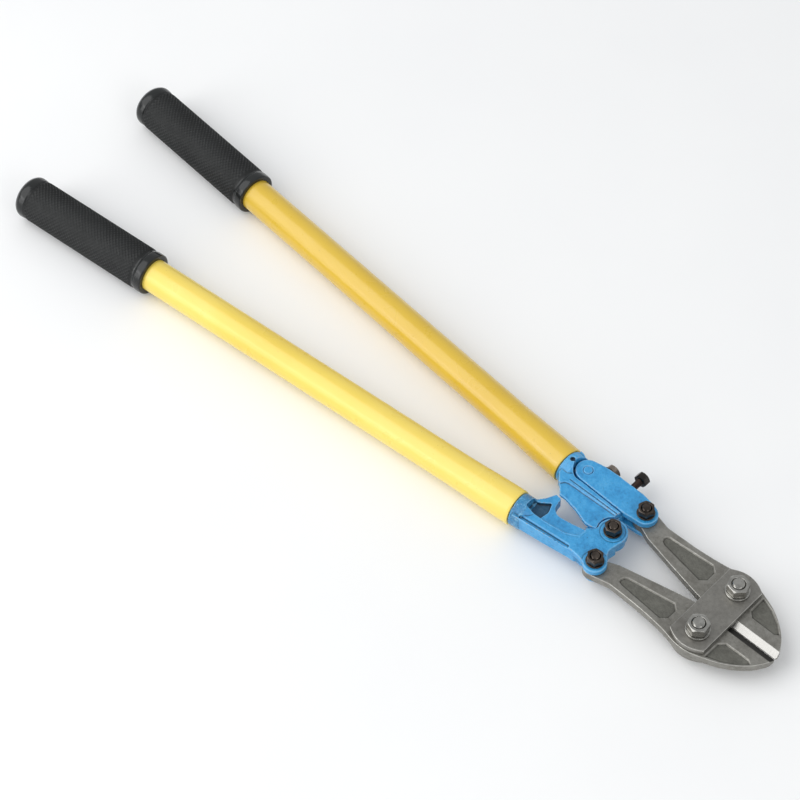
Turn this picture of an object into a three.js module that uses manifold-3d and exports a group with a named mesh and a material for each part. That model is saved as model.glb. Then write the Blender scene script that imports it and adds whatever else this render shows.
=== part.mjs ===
// Bolt cutters of the 600 mm class, lying flat, closed, +X towards the jaw tips, +Z up.
// Two forged jaws swing on bolts between two straps. Two cast levers drive the jaw tails and
// meet on the centre bolt. The upper lever reaches its jaw through an adjusting link.
// Everything is drawn about the centre bolt, with Z = 0 on the middle plane of the jaws, and
// the whole group is then moved so that the origin is under the middle of the tool.
import * as THREE from 'three';
import { mergeVertices } from 'three/addons/utils/BufferGeometryUtils.js';
import Module from 'manifold-3d';

const wasm = await Module();
wasm.setup();

// ---- Driving dimensions, mm ----
const GAP = 0.3;
const FLOOR = -15.2;

// Pivots of the upper half; the lower half is their mirror image in Y.
const JAW_PIVOT = [84.9, 19.3];
const TAIL_BOLT = [6.4, 24.6];
const LINK_PIN = [-42, 25.2];
const CENTRE_BOLT = [0, 0];

// Layers of the head, as heights above and below the middle plane.
const JAW_HALF = 2.9;
const CLEVIS_IN = 3.3;
const CLEVIS_OUT = 7.8;
const CHEEK_OUT = 6.3;
const STRAP_IN = JAW_HALF + GAP;
const STRAP_OUT = 6.9;

// Handles: a tube on each lever's spigot, splayed outwards, with a moulded grip.
const HANDLE_START = [-59, 23.5];
const HANDLE_SPLAY = THREE.MathUtils.degToRad(4.75);
const MOUTH_LEAD = { lower: 0.5, upper: 1.8 };
const TUBE_R = 11.5;
const TUBE_FLARE_R = 12.3;
const TUBE_FLARE_LENGTH = 50;
const TUBE_WALL = 1.6;
const TUBE_LENGTH = 410;
const GRIP_START = 306.5;
const GRIP_LENGTH = 116;
const COLLAR_R = 11.4;
const COLLAR_LENGTH = 7.5;
const COLLAR_TAPER = 7;
const NECK_R = 7.5;
const SPIGOT_LENGTH = 45;

// Fasteners: shank radius, size across flats, head and nut heights, washer radius.
const M8 = { shank: 3.9, flats: 13, nut: 6.5, washer: 8, washerHeight: 1.5, end: 1.4 };
const M6 = { shank: 2.9, flats: 10, nut: 5, washer: 6, washerHeight: 1, end: 1.2 };
const FLANGE = 1.9;
const BUTTON = { radius: 4.9, height: 2.4 };
const HOLE_GAP = 0.3;

// Clearances that the moving linkage needs.
const EYE_R = 7.7;
const TAIL_EAR_R = 7.9;
const CENTRE_EAR_R = 9.8;
const TONGUE_R = 8.8;
const TONGUE_HOLE_R = 5.9;
const CHEEK_R = 6.3;
const SEGMENTS = 32;

// ---- Materials ----
function finish(color, roughness, metalness) {
  return new THREE.MeshStandardMaterial({ color, roughness, metalness });
}

const bluePaint = finish(0x3f97d4, 0.45, 0.1);
const yellowPaint = finish(0xecc95a, 0.35, 0.05);
const blackGrip = finish(0x3c3e3e, 0.6, 0);
const forgedSteel = finish(0x7d7a73, 0.45, 0.8);
const brightSteel = finish(0x9a978f, 0.35, 0.9);
const blackOxide = finish(0x3a3632, 0.4, 0.8);

// ---- Solids ----

/** A closed three.js geometry as a solid. */
function solidOf(geometry) {
  geometry.deleteAttribute('normal');
  geometry.deleteAttribute('uv');
  const merged = mergeVertices(geometry, 1e-4);
  const vertProperties = new Float32Array(merged.attributes.position.array);
  const corners = merged.index.array;
  const triVerts = new Uint32Array(corners.length);
  let used = 0;
  for (let i = 0; i < corners.length; i += 3) {
    const [a, b, c] = corners.slice(i, i + 3);
    if (a === b || b === c || c === a) continue;
    triVerts.set([a, b, c], used);
    used += 3;
  }
  const mesh = new wasm.Mesh({ numProp: 3, vertProperties, triVerts: triVerts.slice(0, used) });
  return new wasm.Manifold(mesh);
}

/** A solid as a three.js geometry with flat facets. */
function geometryOf(solid) {
  const mesh = solid.getMesh();
  const geometry = new THREE.BufferGeometry();
  geometry.setAttribute('position', new THREE.BufferAttribute(mesh.vertProperties, 3));
  geometry.setIndex(new THREE.BufferAttribute(mesh.triVerts, 1));
  return geometry;
}

/** The shape extruded between two heights. */
function plate(shape, low, high) {
  const form = { depth: high - low, bevelEnabled: false, curveSegments: 10 };
  return solidOf(new THREE.ExtrudeGeometry(shape, form).translate(0, 0, low));
}

/** What a die leaves in a face at the given height: a pocket with sloping walls, for the rim's shape. */
function diePocket(rim, face, depth, slope) {
  const form = {
    depth: 1,
    bevelEnabled: true,
    bevelThickness: depth,
    bevelSize: slope,
    bevelOffset: -slope,
    bevelSegments: 1,
  };
  return solidOf(new THREE.ExtrudeGeometry(rim, form).translate(0, 0, face));
}

/** The same plate above and below the middle plane. */
function plates(shape, inner, outer) {
  return plate(shape, inner, outer).add(plate(shape, -outer, -inner));
}

/** A shape through the points, without any that repeat. */
function shapeOf(points) {
  const far = (a, b) => a.distanceTo(b) > 0.01;
  return new THREE.Shape(points.filter((point, i) => far(point, points[(i + 1) % points.length])));
}

function circle([x, y], radius, segments) {
  const shape = new THREE.Shape();
  shape.absarc(x, y, radius, 0, 2 * Math.PI, false);
  return shapeOf(shape.getPoints(segments / 2));
}

/** A vertical cylinder. */
function disc(centre, radius, low, high, segments = SEGMENTS) {
  return plate(circle(centre, radius, segments), low, high);
}

/** A closed outline of corners [x, y, cut]: a corner is rounded from cut mm before it to cut mm after it. */
function outline(corners) {
  const shape = new THREE.Shape();
  const count = corners.length;
  corners.forEach(([x, y, cut = 0], i) => {
    const here = new THREE.Vector2(x, y);
    const towards = (k) => {
      const other = new THREE.Vector2(corners[(k + count) % count][0], corners[(k + count) % count][1]);
      return other.sub(here).setLength(cut).add(here);
    };
    const enter = cut ? towards(i - 1) : here;
    const leave = cut ? towards(i + 1) : here;
    if (i === 0) shape.moveTo(enter.x, enter.y);
    else shape.lineTo(enter.x, enter.y);
    if (cut) shape.quadraticCurveTo(x, y, leave.x, leave.y);
  });
  return shapeOf(shape.getPoints(4));
}

/** The outline seen from the other side of the tool's axis. */
function mirrored(shape) {
  return shapeOf(shape.getPoints().map((point) => new THREE.Vector2(point.x, -point.y)));
}

const opposite = ([x, y]) => [x, -y];

/** A vertical hexagonal prism with chamfered corners on the chosen ends. */
function hexagon([x, y], flats, low, high, chamferLow, chamferHigh) {
  const corner = flats / Math.sqrt(3);
  const prism = new THREE.CylinderGeometry(corner, corner, high - low, 6);
  prism.rotateX(Math.PI / 2).translate(x, y, (low + high) / 2);
  const drop = (corner - flats / 2) * 0.6;
  const round = [
    new THREE.Vector2(0, low),
    new THREE.Vector2(chamferLow ? flats / 2 : corner + 1, low),
    new THREE.Vector2(corner + 1, chamferLow ? low + drop * 2.2 : low),
    new THREE.Vector2(corner + 1, chamferHigh ? high - drop * 2.2 : high),
    new THREE.Vector2(chamferHigh ? flats / 2 : corner + 1, high),
    new THREE.Vector2(0, high),
  ].filter((point, i, all) => i === 0 || !point.equals(all[i - 1]));
  const cone = new THREE.LatheGeometry(round, 24);
  cone.rotateX(Math.PI / 2).translate(x, y, 0);
  return solidOf(prism).intersect(solidOf(cone));
}

/** A solid turned about a vertical axis from [radius, height] pairs that start and end on the axis. */
function turned([x, y], profile, segments = SEGMENTS) {
  const points = profile.map(([radius, height]) => new THREE.Vector2(radius, height));
  const geometry = new THREE.LatheGeometry(points, segments);
  return solidOf(geometry.rotateX(Math.PI / 2).translate(x, y, 0));
}

/** A ring turned about a vertical axis. */
function ring(centre, inner, outer, low, high) {
  return disc(centre, outer, low, high, 24).subtract(disc(centre, inner, low - 1, high + 1, 24));
}

// ---- The object ----
const group = new THREE.Group();

function part(name, solid, material) {
  const mesh = new THREE.Mesh(geometryOf(solid), material);
  mesh.name = name;
  group.add(mesh);
  return mesh;
}

/** A flanged hexagonal bolt head that hangs down to the floor. */
function flangedHead(centre, seat) {
  const flange = disc(centre, M8.washer, -seat - FLANGE, -seat);
  return flange.add(hexagon(centre, M8.flats, FLOOR, -seat - FLANGE + 0.5, true, false));
}

/** A low domed bolt head. */
function buttonHead(centre, seat) {
  const { radius, height } = BUTTON;
  return turned(centre, [
    [0, -seat - height],
    [radius * 0.5, -seat - height * 0.9],
    [radius * 0.85, -seat - height * 0.55],
    [radius, -seat - height * 0.1],
    [radius, -seat],
    [0, -seat],
  ], 24);
}

/** A bolt through the stack, with its head under the lower face, and its washer and nut on top. */
function boltSet(name, centre, size, under, reach, headOf, material) {
  const seat = reach + GAP;
  const washerTop = seat + size.washerHeight;
  const nutLow = washerTop + GAP;
  const nutTop = nutLow + size.nut;
  const tip = nutTop + size.end;
  const hole = size.shank + HOLE_GAP;
  const shank = turned(centre, [
    [0, -under - GAP - 0.5],
    [size.shank, -under - GAP - 0.5],
    [size.shank, nutTop + 0.3],
    [size.shank * 0.82, nutTop + size.end * 0.75],
    [size.shank * 0.45, tip],
    [0, tip],
  ], 24);
  part(`${name}_bolt`, shank.add(headOf(centre, under + GAP)), material);
  part(`${name}_washer`, ring(centre, hole, size.washer, seat, washerTop), material);
  const bore = disc(centre, hole, nutLow - 1, nutTop + 1, 24);
  part(`${name}_nut`, hexagon(centre, size.flats, nutLow, nutTop, true, true).subtract(bore), material);
}

// ---- Jaws ----
const BEVEL_WIDTH = 4.9;
const EDGE_LAND = 0.25;
const EDGE_GAP = 0.17;
const POCKET_DEPTH = 1.2;
const JAW_RIM = [
  [22, 28.6], [46, 29.2], [66, 31.2], [78, 33.7], [88, 33.7], [98, 30.6], [108, 26.6], [117, 20.9],
  [124, 14.4], [129, 7.2], [130.9, 2],
];
const JAW_TIP = 130.6;
const BEVEL_START = 87;

/** The upper jaw in plan: an eye, a straight tail, a broad head and the cutting edge along the axis. */
function jawShape() {
  const shape = new THREE.Shape();
  shape.moveTo(...JAW_RIM[0]);
  shape.splineThru(JAW_RIM.slice(1).map(([x, y]) => new THREE.Vector2(x, y)));
  shape.lineTo(JAW_TIP, EDGE_GAP);
  shape.lineTo(JAW_PIVOT[0], EDGE_GAP);
  shape.lineTo(66, 2.9);
  shape.lineTo(52, 5.9);
  shape.lineTo(41, 8.3);
  shape.lineTo(26, 11.7);
  shape.lineTo(18, 13.5);
  shape.absarc(...TAIL_BOLT, EYE_R, THREE.MathUtils.degToRad(-70), THREE.MathUtils.degToRad(-290), true);
  return shapeOf(shape.getPoints(6));
}

/** What the grinding takes off one face of the blade, for a side in Y and a face in Z. */
function bevelCut(side, face) {
  const section = new THREE.Shape([
    [-1, EDGE_LAND], [EDGE_GAP, EDGE_LAND], [BEVEL_WIDTH, JAW_HALF], [BEVEL_WIDTH, JAW_HALF + 1],
    [-1, JAW_HALF + 1],
  ].map(([y, z]) => new THREE.Vector2(side * y, face * z)));
  const wedge = new THREE.ExtrudeGeometry(section, { depth: JAW_TIP + 2 - BEVEL_START, bevelEnabled: false });
  return solidOf(wedge.rotateX(Math.PI / 2).rotateZ(Math.PI / 2).translate(BEVEL_START, 0, 0));
}

const POCKET_SLOPE = 0.9;
const TAIL_POCKET = outline([
  [24.5, 21.2], [25.5, 18.4], [28.3, 16.9], [60.8, 11.5], [65, 15.2], [65, 22.6], [60.4, 26.6], [27.6, 24.1],
  [25.2, 23.2],
]);
const BLADE_POCKET = outline([
  [98.4, 28.9], [98.4, 16.2], [102.2, 12.4], [119.8, 12.2], [122.9, 14.2], [116.4, 20.4], [107.8, 25.6],
]);

function jaw(side) {
  const turn = (shape) => (side > 0 ? shape : mirrored(shape));
  const at = ([x, y]) => [x, side * y];
  let solid = plate(turn(jawShape()), -JAW_HALF, JAW_HALF);
  for (const pocket of [TAIL_POCKET, BLADE_POCKET]) {
    const cut = diePocket(turn(pocket), JAW_HALF, POCKET_DEPTH, POCKET_SLOPE);
    solid = solid.subtract(cut).subtract(cut.mirror([0, 0, 1]));
  }
  solid = solid.subtract(bevelCut(side, 1)).subtract(bevelCut(side, -1));
  solid = solid.subtract(disc(at(JAW_PIVOT), M8.shank + HOLE_GAP, -JAW_HALF - 1, JAW_HALF + 1));
  return solid.subtract(disc(at(TAIL_BOLT), M6.shank + HOLE_GAP, -JAW_HALF - 1, JAW_HALF + 1));
}

part('lower_jaw', jaw(-1), forgedSteel);
part('upper_jaw', jaw(1), forgedSteel);

// ---- Straps, with the two jaw bolts ----
const STRAP_BACK = [70.8, 29];
const STRAP_FRONT = [97.2, 28.6];
const STRAP_BULGE = [84, 38];

function strap(low, high) {
  const shape = new THREE.Shape();
  shape.moveTo(...opposite(STRAP_FRONT));
  shape.lineTo(...STRAP_FRONT);
  shape.quadraticCurveTo(...STRAP_BULGE, ...STRAP_BACK);
  shape.lineTo(...opposite(STRAP_BACK));
  shape.quadraticCurveTo(...opposite(STRAP_BULGE), ...opposite(STRAP_FRONT));
  let solid = plate(shapeOf(shape.getPoints(12)), low, high);
  for (const pivot of [JAW_PIVOT, opposite(JAW_PIVOT)]) {
    solid = solid.subtract(disc(pivot, M8.shank + HOLE_GAP, low - 1, high + 1));
  }
  return solid;
}

part('top_strap', strap(STRAP_IN, STRAP_OUT), forgedSteel);
part('bottom_strap', strap(-STRAP_OUT, -STRAP_IN), forgedSteel);
boltSet('lower_jaw', opposite(JAW_PIVOT), M8, STRAP_OUT, STRAP_OUT, flangedHead, brightSteel);
boltSet('upper_jaw', JAW_PIVOT, M8, STRAP_OUT, STRAP_OUT, flangedHead, brightSteel);

// ---- Handles ----

/** Turns a shape drawn along +Y from the origin so that it runs down a handle. */
const handleTurn = (side) => Math.PI / 2 - side * HANDLE_SPLAY;

function placeOnHandle(mesh, side) {
  mesh.position.set(HANDLE_START[0], side * HANDLE_START[1], 0);
  mesh.rotation.z = handleTurn(side);
}

/** A closed or ring-shaped profile of [radius, distance along the handle] pairs, turned about the handle. */
function lathe(profile, segments = SEGMENTS) {
  return new THREE.LatheGeometry(profile.map(([radius, along]) => new THREE.Vector2(radius, along)), segments);
}

/** The tube's wall, from a mouth that is a little ahead of the handle's start. */
const tubeProfile = (lead) => [
  [TUBE_FLARE_R, -lead], [TUBE_FLARE_R, 6], [TUBE_R, TUBE_FLARE_LENGTH], [TUBE_R, TUBE_LENGTH],
  [TUBE_R - TUBE_WALL, TUBE_LENGTH], [TUBE_R - TUBE_WALL, TUBE_FLARE_LENGTH], [TUBE_FLARE_R - TUBE_WALL, 6],
  [TUBE_FLARE_R - TUBE_WALL, -lead], [TUBE_FLARE_R, -lead],
];

const GRIP_BORE = TUBE_R + GAP;
const GRIP_END = GRIP_START + GRIP_LENGTH;
const GRIP_FLANGE_R = -FLOOR;
const GRIP_PROFILE = [
  [GRIP_BORE, GRIP_START], [14.5, GRIP_START], [15.1, GRIP_START + 1.2], [15.1, GRIP_START + 5.5],
  [14.7, GRIP_START + 7.5], [14.4, GRIP_END - 12], [14.5, GRIP_END - 10.5], [GRIP_FLANGE_R, GRIP_END - 8.8],
  [GRIP_FLANGE_R, GRIP_END - 4.4], [14.4, GRIP_END - 2.4], [11.5, GRIP_END - 1.2], [6, GRIP_END - 0.3],
  [0, GRIP_END], [0, TUBE_LENGTH + 4], [GRIP_BORE, TUBE_LENGTH + 4], [GRIP_BORE, GRIP_START],
];

for (const [name, side] of [['lower', -1], ['upper', 1]]) {
  const tube = solidOf(lathe(tubeProfile(MOUTH_LEAD[name])));
  placeOnHandle(part(`${name}_handle_tube`, tube, yellowPaint), side);
  placeOnHandle(part(`${name}_grip`, solidOf(lathe(GRIP_PROFILE)), blackGrip), side);
}

/** The lever's round end: a tapering collar the tube butts against and a spigot that goes inside it. */
function leverShank(side, lead) {
  const spigotR = TUBE_R - TUBE_WALL - GAP;
  const front = -COLLAR_LENGTH - lead;
  const neck = front - COLLAR_TAPER;
  const back = -GAP - lead;
  const shank = lathe([
    [0, neck], [NECK_R, neck], [COLLAR_R, front], [COLLAR_R, back], [spigotR, back],
    [spigotR, SPIGOT_LENGTH], [0, SPIGOT_LENGTH],
  ]);
  return solidOf(shank.rotateZ(handleTurn(side)).translate(HANDLE_START[0], side * HANDLE_START[1], 0));
}

// ---- Lower lever: collar, stop arm, and a pair of ears at the tail bolt and at the centre bolt ----
const LOWER_BODY = outline([
  [-55, -34], [-30, -31, 4], [-11, -28.2, 3], [-5, -28.6, 2], [0, -29.6], [6.4, -24.6], [12.2, -19.4],
  [7.2, -13.4, 3], [9.2, -3], [0, 0], [-9, 3.4], [-9, -4.9], [-13.9, -9.3], [-24.5, -11.8, 4],
  [-35, -13.2, 3], [-39.4, -9.6, 2], [-41, -1.9], [-45.4, -1.2], [-48.5, -8, 2], [-51.8, -12.2],
  [-51.8, -16.5], [-55, -17.5],
]);
const LOWER_CHEEK = outline([
  [-55, -31], [-30, -28], [-11, -25.2, 3], [-4, -26], [6.4, -24.6], [9, -20], [3.6, -13.4, 3], [5.6, -3],
  [0, 0], [-9, 3.4], [-9, -4.9], [-13.9, -9.3], [-24.5, -11.8, 4], [-35, -13.2, 3], [-40, -14], [-55, -15],
]);
const TAIL_SLOT = outline([
  [-8.5, -45], [-8.5, -28.5], [-2, -24.6], [6.4, -15.6], [40, -10], [40, -45],
]);
const TAIL_SLOT_R = 9;
const TONGUE_SLOT_R = 10.6;
const FLANGE_TOP = 5;
const LOWER_FLANGE = outline([
  [-51.8, -23.9, 2], [-33, -22.6], [-21.5, -20.9, 4], [-13.6, -16.6, 4], [-13.3, 2], [-51.8, 2],
]);
const ARM_POCKET_FLOOR = 2.6;
const ARM_POCKET = outline([
  [-51.6, -22.4, 1.5], [-52.6, -14.2, 1.5], [-49, -13.2, 1], [-42.9, -8.2, 1.5], [-39.9, -15.4, 1.5],
  [-41.2, -22.6, 1.5],
]);
const GROOVE_FLOOR = 6.4;
const LOWER_GROOVE = outline([
  [-50.5, -32.4, 1], [-12.6, -28.6, 1], [-13, -26.2, 1], [-50.3, -30, 1],
]);

function lowerLever() {
  const tail = opposite(TAIL_BOLT);
  let solid = plate(LOWER_BODY, -CLEVIS_IN, CLEVIS_OUT).add(plate(LOWER_CHEEK, -CHEEK_OUT, -CLEVIS_IN));
  for (const [bolt, ear] of [[tail, TAIL_EAR_R], [CENTRE_BOLT, CENTRE_EAR_R]]) {
    solid = solid.add(disc(bolt, ear, 0, CLEVIS_OUT)).add(disc(bolt, CHEEK_R, -CHEEK_OUT, 0));
  }
  solid = solid.add(leverShank(-1, MOUTH_LEAD.lower));
  solid = solid.subtract(plate(LOWER_FLANGE, FLANGE_TOP, COLLAR_R + 1));
  solid = solid.subtract(plate(ARM_POCKET, ARM_POCKET_FLOOR, COLLAR_R + 1));
  solid = solid.subtract(plate(LOWER_GROOVE, GROOVE_FLOOR, COLLAR_R + 1));
  solid = solid.subtract(plate(TAIL_SLOT, -CLEVIS_IN, CLEVIS_IN));
  solid = solid.subtract(disc(tail, TAIL_SLOT_R, -CLEVIS_IN, CLEVIS_IN));
  solid = solid.subtract(disc(CENTRE_BOLT, TONGUE_SLOT_R, -CLEVIS_IN, CLEVIS_IN));
  for (const bolt of [tail, CENTRE_BOLT]) {
    solid = solid.subtract(disc(bolt, M6.shank + HOLE_GAP, -CLEVIS_OUT - 1, CLEVIS_OUT + 1));
  }
  return solid;
}

part('lower_lever', lowerLever(), bluePaint);
boltSet('lower_tail', opposite(TAIL_BOLT), M6, CHEEK_OUT, CLEVIS_OUT, buttonHead, blackOxide);
boltSet('centre', CENTRE_BOLT, M6, CHEEK_OUT, CLEVIS_OUT, buttonHead, blackOxide);

// ---- Upper lever: collar, ribbed body, a tongue at the centre bolt and a web inside the link ----
const LINK_REAR_R = 8.2;
const LINK_CLEAR_R = 9.6;
const LINK_INNER = [[-42, 16.8], [-4, 15.4]];
const LINK_SIDE_GAP = 1;
const WEB_TOP = 30.8;
const WEB_FRONT = -5;
const EAR_RELIEF = { centre: [0, 1], radius: 10.8, from: 211, to: 128 };

function upperBody() {
  const { centre, radius, from, to } = EAR_RELIEF;
  const shape = new THREE.Shape();
  shape.moveTo(-55, 11.9);
  shape.lineTo(-50.6, 6.4);
  shape.lineTo(-47, 3.4);
  shape.lineTo(-43.4, -0.8);
  shape.lineTo(-38.5, -0.8);
  shape.lineTo(-28.2, -2.8);
  shape.lineTo(-17.2, -6.5);
  shape.lineTo(-12.7, -6.1);
  shape.absarc(...centre, radius, THREE.MathUtils.degToRad(from), THREE.MathUtils.degToRad(to), true);
  shape.lineTo(LINK_INNER[1][0] - 1.6, LINK_INNER[1][1] - LINK_SIDE_GAP);
  shape.lineTo(LINK_INNER[0][0], LINK_INNER[0][1] - LINK_SIDE_GAP);
  shape.absarc(...LINK_PIN, LINK_CLEAR_R, THREE.MathUtils.degToRad(270), THREE.MathUtils.degToRad(140), true);
  shape.lineTo(-52, 33);
  shape.lineTo(-55, 33.6);
  return shapeOf(shape.getPoints(10));
}

const UPPER_WEB = outline([
  [-55, 12], [WEB_FRONT, 12], [WEB_FRONT, WEB_TOP], [-44, WEB_TOP], [-52, 32.4], [-55, 33],
]);
const UPPER_KEEL_TOP = 4.4;
const UPPER_WINDOW_SIDE = outline([
  [-56, 11.5], [-50, 9.4], [-46, 7.4], [-40, 5.4], [-17.5, 0.6], [-10.6, 0], [-10.6, -12], [-56, -12],
]);
const TONGUE_NECK = outline([
  [-16, -7.3], [-7.5, -4.4], [-6.5, 6], [-5.6, 12.5], [-16, 12.5],
]);
const MAIN_FACE = 7;
const UPPER_MAIN = outline([
  [-47.4, 8.6, 2], [-44, 9.5], [2, 11], [2, -12], [-50, -12], [-50, 3],
]);
const RIB_GROOVE = outline([
  [-45.5, 11.7], [0, 11.9], [0, 12.6], [-45.5, 12.5],
]);
const SET_PIN = [-53.5, 23.2];
const SET_PIN_R = 1.5;
const SET_PIN_LOW = 4;
const SET_PIN_HIGH = 11;
const LOCK_BOLT = { x: -32.6, shank: 1.9, low: 23, headLow: 37.1, headHigh: 41, flats: 9 };
const LOCK_WASHER = { radius: 6, low: 35.8 };
const ADJUSTER = { x: -15.2, shank: 2.4, low: 31.4, headLow: 45, headHigh: 50, flats: 8.5 };

/** A cylinder along +Y, centred on z = 0. */
function crossBar(x, radius, low, high, segments = 24) {
  const bar = new THREE.CylinderGeometry(radius, radius, high - low, segments);
  return solidOf(bar.translate(x, (low + high) / 2, 0));
}

function upperLever() {
  let solid = plate(upperBody(), -CHEEK_OUT, CLEVIS_OUT).add(leverShank(1, MOUTH_LEAD.upper));
  solid = solid.subtract(plates(circle(LINK_PIN, LINK_CLEAR_R + 0.1, SEGMENTS), JAW_HALF, COLLAR_R + 1));
  solid = solid.subtract(plate(UPPER_MAIN, MAIN_FACE, COLLAR_R + 1));
  solid = solid.subtract(plate(RIB_GROOVE, MAIN_FACE + 0.2, COLLAR_R + 1));
  solid = solid.subtract(plate(UPPER_WINDOW_SIDE, -CLEVIS_OUT, UPPER_KEEL_TOP));
  solid = solid.add(plate(UPPER_WEB, -JAW_HALF, JAW_HALF));
  solid = solid.add(plate(TONGUE_NECK, -JAW_HALF, JAW_HALF));
  solid = solid.add(disc(CENTRE_BOLT, TONGUE_R, -JAW_HALF, JAW_HALF));
  solid = solid.subtract(disc(CENTRE_BOLT, TONGUE_HOLE_R, -JAW_HALF - 1, JAW_HALF + 1));
  solid = solid.subtract(disc(LINK_PIN, 3 + HOLE_GAP, -JAW_HALF - 1, JAW_HALF + 1));
  solid = solid.subtract(crossBar(LOCK_BOLT.x, LOCK_BOLT.shank + HOLE_GAP, LOCK_BOLT.low - 1, WEB_TOP + 1));
  return solid.subtract(disc(SET_PIN, SET_PIN_R + HOLE_GAP, SET_PIN_LOW - GAP, COLLAR_R + 1));
}

part('upper_lever', upperLever(), bluePaint);
part('upper_set_pin', disc(SET_PIN, SET_PIN_R, SET_PIN_LOW, SET_PIN_HIGH), brightSteel);

// ---- Adjusting link: two plates joined by a web on the outside ----
const LINK_EAR_R = 8.1;
const LINK_WEB_IN = 31.6;
const LINK_WEB = [-38, -4];

function linkShape() {
  const shape = new THREE.Shape();
  shape.moveTo(...LINK_INNER[0]);
  shape.lineTo(...LINK_INNER[1]);
  shape.lineTo(TAIL_BOLT[0], TAIL_BOLT[1] - LINK_EAR_R);
  shape.absarc(...TAIL_BOLT, LINK_EAR_R, THREE.MathUtils.degToRad(-90), THREE.MathUtils.degToRad(80), false);
  shape.quadraticCurveTo(2, 34.4, -4, 35);
  shape.lineTo(-24, 35.3);
  shape.quadraticCurveTo(-36, 35.3, -42.7, 33.37);
  shape.absarc(...LINK_PIN, LINK_REAR_R, THREE.MathUtils.degToRad(95), THREE.MathUtils.degToRad(266), false);
  return shapeOf(shape.getPoints(10));
}

function adjustingLink() {
  const inside = outline([
    [-60, 0], [30, 0], [30, 50], [LINK_WEB[1], 50], [LINK_WEB[1], LINK_WEB_IN], [LINK_WEB[0], LINK_WEB_IN],
    [LINK_WEB[0], 50], [-60, 50],
  ]);
  let solid = plate(linkShape(), -CHEEK_OUT, CLEVIS_OUT);
  solid = solid.subtract(plate(inside, -CLEVIS_IN, CLEVIS_IN));
  solid = solid.subtract(disc(TAIL_BOLT, M6.shank + HOLE_GAP, -CLEVIS_OUT - 1, CLEVIS_OUT + 1));
  solid = solid.subtract(disc(LINK_PIN, 3 + HOLE_GAP, -CLEVIS_OUT - 1, CLEVIS_OUT + 1));
  solid = solid.subtract(crossBar(LOCK_BOLT.x, LOCK_BOLT.shank + 0.6, LINK_WEB_IN - 1, 40));
  return solid.subtract(crossBar(ADJUSTER.x, ADJUSTER.shank + HOLE_GAP, LINK_WEB_IN - 1, 40));
}

/** A hexagon-headed screw along +Y. */
function crossScrew({ x, shank, low, headLow, headHigh, flats }) {
  const corner = flats / Math.sqrt(3);
  const head = new THREE.CylinderGeometry(corner, corner, headHigh - headLow, 6);
  return crossBar(x, shank, low, headLow + 0.5).add(solidOf(head.translate(x, (headLow + headHigh) / 2, 0)));
}

part('adjusting_link', adjustingLink(), bluePaint);
part('link_pin', disc(LINK_PIN, 3, -CHEEK_OUT - 0.2, CLEVIS_OUT + 0.2), bluePaint);
part('adjusting_screw', crossScrew(ADJUSTER), blackOxide);
part('lock_bolt', crossScrew(LOCK_BOLT), blackOxide);
const washerTop = LOCK_BOLT.headLow - GAP;
const lockWasher = crossBar(LOCK_BOLT.x, LOCK_WASHER.radius, LOCK_WASHER.low, washerTop, 32);
part('lock_washer', lockWasher.subtract(crossBar(LOCK_BOLT.x, LOCK_BOLT.shank + HOLE_GAP, 30, 45)), blackOxide);
boltSet('upper_tail', TAIL_BOLT, M6, CHEEK_OUT, CLEVIS_OUT, buttonHead, blackOxide);

// ---- Origin: on the surface the tool lies on, under the middle of the whole tool ----
const bounds = new THREE.Box3().setFromObject(group);
const middle = bounds.getCenter(new THREE.Vector3());
group.position.set(-middle.x, -middle.y, -bounds.min.z);

export default group;
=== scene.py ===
"""Bolt cutters of the 600 mm class, lying closed on a pale floor.

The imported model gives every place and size. Each steel, painted or moulded part gets a detailed
piece here that stands for its CAD node: cast levers with soft edges and a sandy skin, forged jaws
with worn rims and ground bevels, knurled grips, threaded fasteners. Everything is in metres.
"""
import math

import bmesh
import bpy
import numpy as np
from mathutils import Matrix, Vector, noise


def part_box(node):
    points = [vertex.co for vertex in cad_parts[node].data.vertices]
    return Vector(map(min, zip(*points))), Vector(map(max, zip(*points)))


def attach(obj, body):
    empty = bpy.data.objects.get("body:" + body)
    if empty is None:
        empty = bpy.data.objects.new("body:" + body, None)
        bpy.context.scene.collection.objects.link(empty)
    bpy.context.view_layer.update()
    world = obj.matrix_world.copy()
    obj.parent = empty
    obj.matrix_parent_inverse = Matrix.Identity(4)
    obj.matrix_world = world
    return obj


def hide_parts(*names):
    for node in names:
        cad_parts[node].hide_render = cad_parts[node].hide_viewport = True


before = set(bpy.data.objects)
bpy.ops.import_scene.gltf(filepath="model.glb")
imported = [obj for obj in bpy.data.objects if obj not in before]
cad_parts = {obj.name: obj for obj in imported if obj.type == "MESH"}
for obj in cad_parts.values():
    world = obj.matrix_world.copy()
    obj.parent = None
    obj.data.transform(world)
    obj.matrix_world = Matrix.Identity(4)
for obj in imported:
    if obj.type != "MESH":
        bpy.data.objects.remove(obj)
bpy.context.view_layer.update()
MM = 0.001
TAU = 2 * math.pi


# ---- Places, from the frame ----

def middle(node):
    low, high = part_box(node)
    return (Vector(low) + Vector(high)) / 2


CENTRE = middle("centre_bolt")
MID_Z = (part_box("lower_jaw")[0][2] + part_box("lower_jaw")[1][2]) / 2
JAW_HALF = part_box("lower_jaw")[1][2] - MID_Z
PIVOT = Vector((CENTRE.x, CENTRE.y, MID_Z))

# Where each handle's axis starts, at its tube's mouth, from the pivot, and how far it leans out.
HANDLE_START = Vector((-59 * MM, 23.5 * MM, 0))
HANDLE_SPLAY = math.radians(4.75)


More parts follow.
